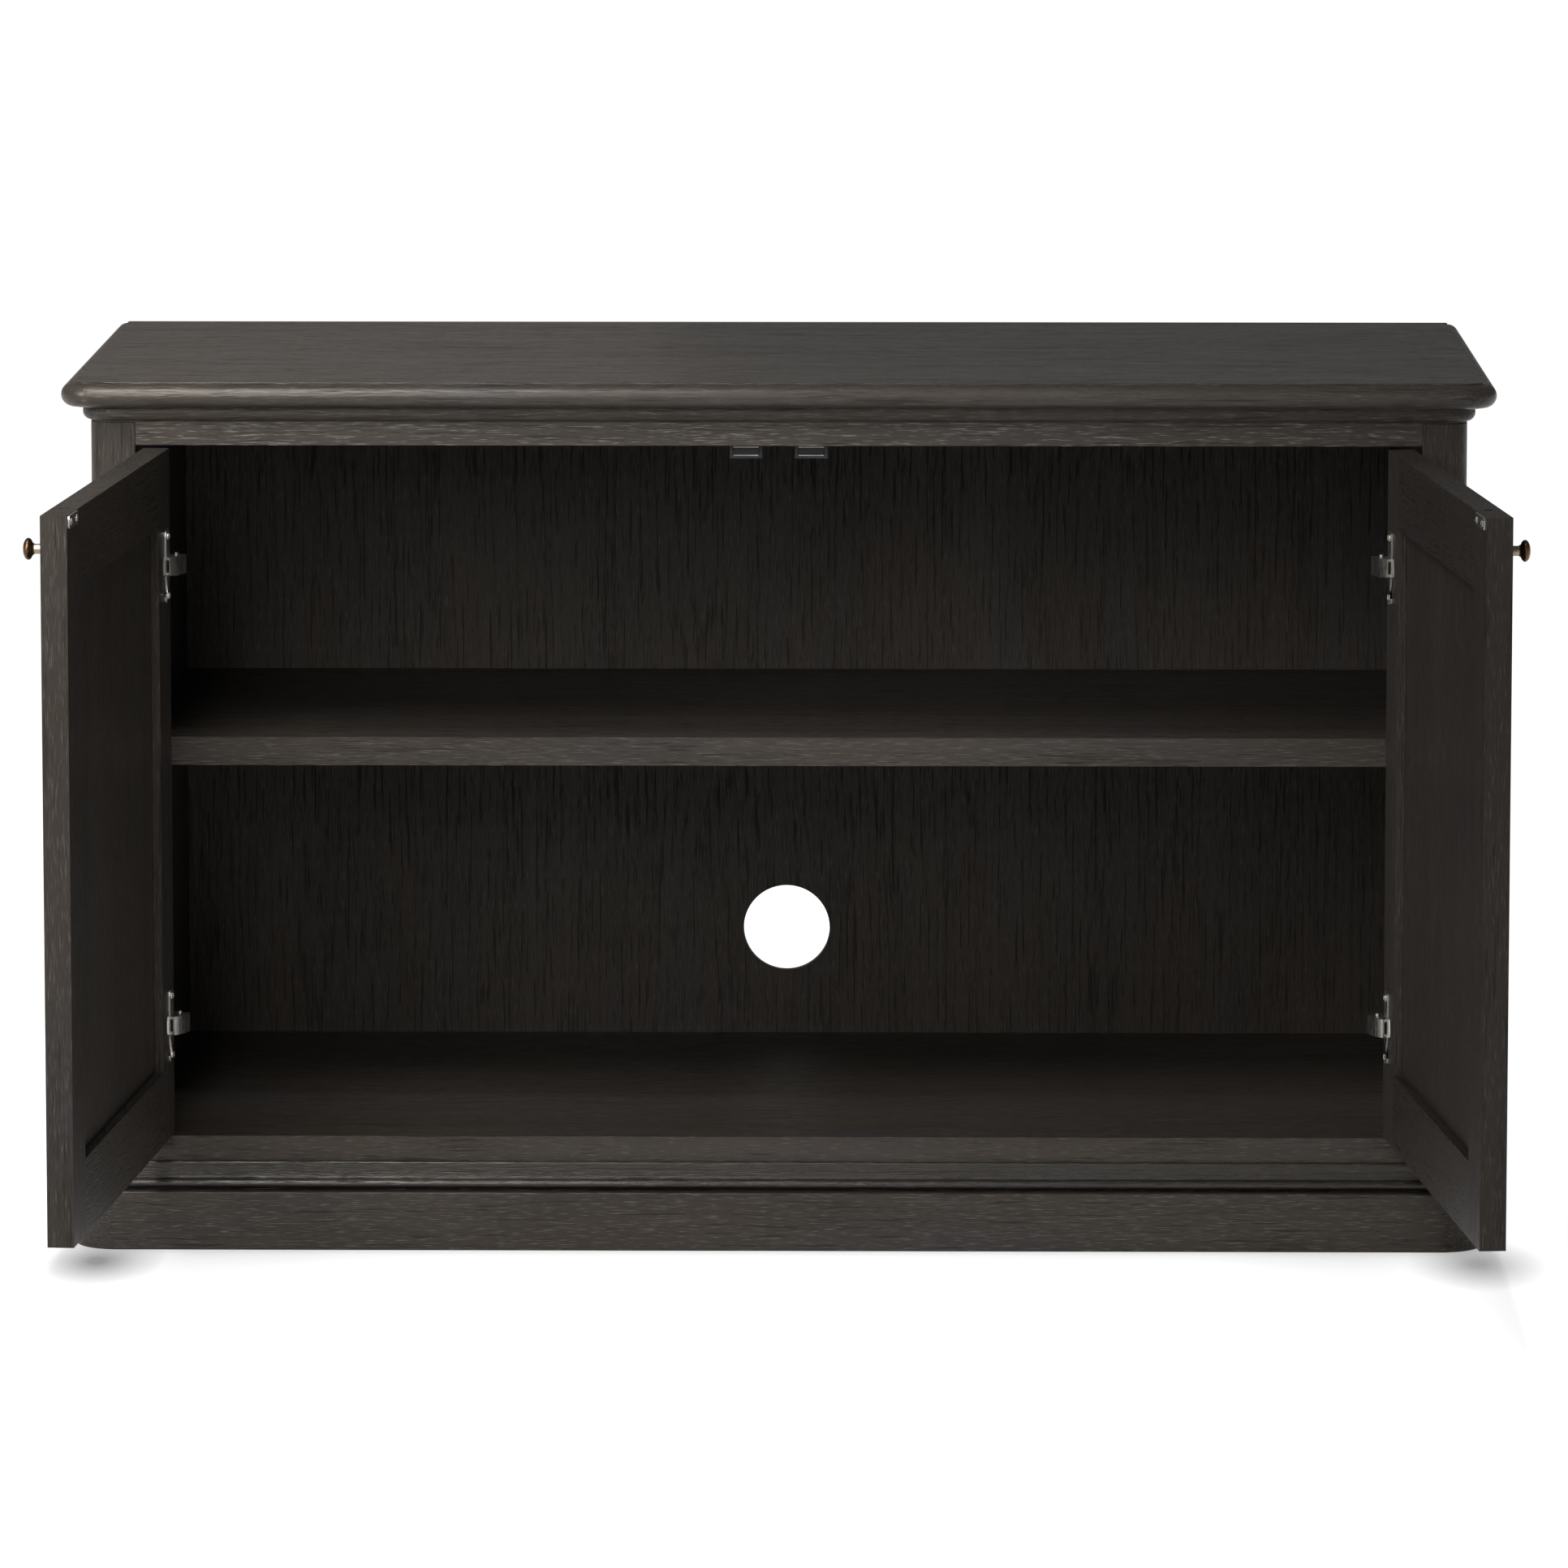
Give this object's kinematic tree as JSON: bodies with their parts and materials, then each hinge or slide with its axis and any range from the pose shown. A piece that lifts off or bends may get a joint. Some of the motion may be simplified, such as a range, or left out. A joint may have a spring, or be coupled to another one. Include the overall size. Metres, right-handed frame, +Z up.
{
  "type": "media cabinet",
  "caption": "Low media cabinet with a bullnosed top, moulded plinth, inner shelf, back panel with a cable hole, and inset framed doors standing open on concealed hinges.",
  "frame": {"origin": "on the floor under the middle of the carcass plan, on the underside of the plinth's centre stretcher", "axes": "+X to the right along the width, +Y to the back, so the doors face -Y, and +Z up"},
  "size_m": [1.245, 1.1468, 0.762],
  "materials": {
    "dark_oak": "satin dark-stained open-pored oak",
    "dark_oak_veneer": "satin dark-stained oak veneer",
    "nickel_steel": "nickel-plated pressed steel",
    "pole_steel": "bare steel magnet poles",
    "catch_plastic": "dark grey moulded plastic",
    "antique_bronze": "antique bronze with worn edges"
  },
  "bodies": {
    "carcass": {"back_panel": "dark_oak_veneer", "base_cap_front": "dark_oak", "base_cap_left": "dark_oak", "base_cap_right": "dark_oak", "bed_mould_front": "dark_oak", "bed_mould_left": "dark_oak", "bed_mould_right": "dark_oak", "catch_housing_left": "catch_plastic", "catch_housing_right": "catch_plastic", "catch_magnet_left": "pole_steel", "catch_magnet_right": "pole_steel", "floor_panel": "dark_oak_veneer", "front_post_left": "dark_oak", "front_post_right": "dark_oak", "left_hinge_arm_lower": "nickel_steel", "left_hinge_arm_upper": "nickel_steel", "plinth_back": "dark_oak", "plinth_front": "dark_oak", "plinth_left": "dark_oak", "plinth_right": "dark_oak", "plinth_stretcher": "dark_oak", "rear_post_left": "dark_oak", "rear_post_right": "dark_oak", "right_hinge_arm_lower": "nickel_steel", "right_hinge_arm_upper": "nickel_steel", "shelf": "dark_oak", "shelf_pin_front_left": "nickel_steel", "shelf_pin_front_right": "nickel_steel", "shelf_pin_rear_left": "nickel_steel", "shelf_pin_rear_right": "nickel_steel", "side_bottom_rail_left": "dark_oak", "side_bottom_rail_right": "dark_oak", "side_panel_left": "dark_oak_veneer", "side_panel_right": "dark_oak_veneer", "side_top_rail_left": "dark_oak", "side_top_rail_right": "dark_oak", "top_board": "dark_oak", "top_rail": "dark_oak"},
    "left_door": {"left_door_bottom_rail": "dark_oak", "left_door_free_stile": "dark_oak", "left_door_hinge_cup_lower": "nickel_steel", "left_door_hinge_cup_upper": "nickel_steel", "left_door_hinge_stile": "dark_oak", "left_door_knob": "antique_bronze", "left_door_panel": "dark_oak_veneer", "left_door_strike_plate": "nickel_steel", "left_door_top_rail": "dark_oak"},
    "right_door": {"right_door_bottom_rail": "dark_oak", "right_door_free_stile": "dark_oak", "right_door_hinge_cup_lower": "nickel_steel", "right_door_hinge_cup_upper": "nickel_steel", "right_door_hinge_stile": "dark_oak", "right_door_knob": "antique_bronze", "right_door_panel": "dark_oak_veneer", "right_door_strike_plate": "nickel_steel", "right_door_top_rail": "dark_oak"},
    "left_hinge_links": {"left_hinge_link_lower": "nickel_steel", "left_hinge_link_upper": "nickel_steel"},
    "right_hinge_links": {"right_hinge_link_lower": "nickel_steel", "right_hinge_link_upper": "nickel_steel"}
  },
  "joints": [
    {"name": "left_door_swing", "type": "hinge", "parent": "carcass", "child": "left_door", "pos_m": [-0.553, -0.2985, 0.402], "axis": [0, 0, -1], "range_deg": [-94.2, 10]},
    {"name": "right_door_swing", "type": "hinge", "parent": "carcass", "child": "right_door", "pos_m": [0.553, -0.2985, 0.402], "axis": [0, 0, 1], "range_deg": [-95.4, 10]},
    {"name": "left_hinge_fold", "type": "hinge", "parent": "carcass", "child": "left_hinge_links", "pos_m": [-0.553, -0.2985, 0.402], "axis": [0, 0, -1], "range_deg": [-47.1, 5]},
    {"name": "right_hinge_fold", "type": "hinge", "parent": "carcass", "child": "right_hinge_links", "pos_m": [0.553, -0.2985, 0.402], "axis": [0, 0, 1], "range_deg": [-47.7, 5]}
  ],
  "couplings": [
    {"joint": "left_hinge_fold", "follows": "left_door_swing", "ratio": 0.5},
    {"joint": "right_hinge_fold", "follows": "right_door_swing", "ratio": 0.5}
  ]
}
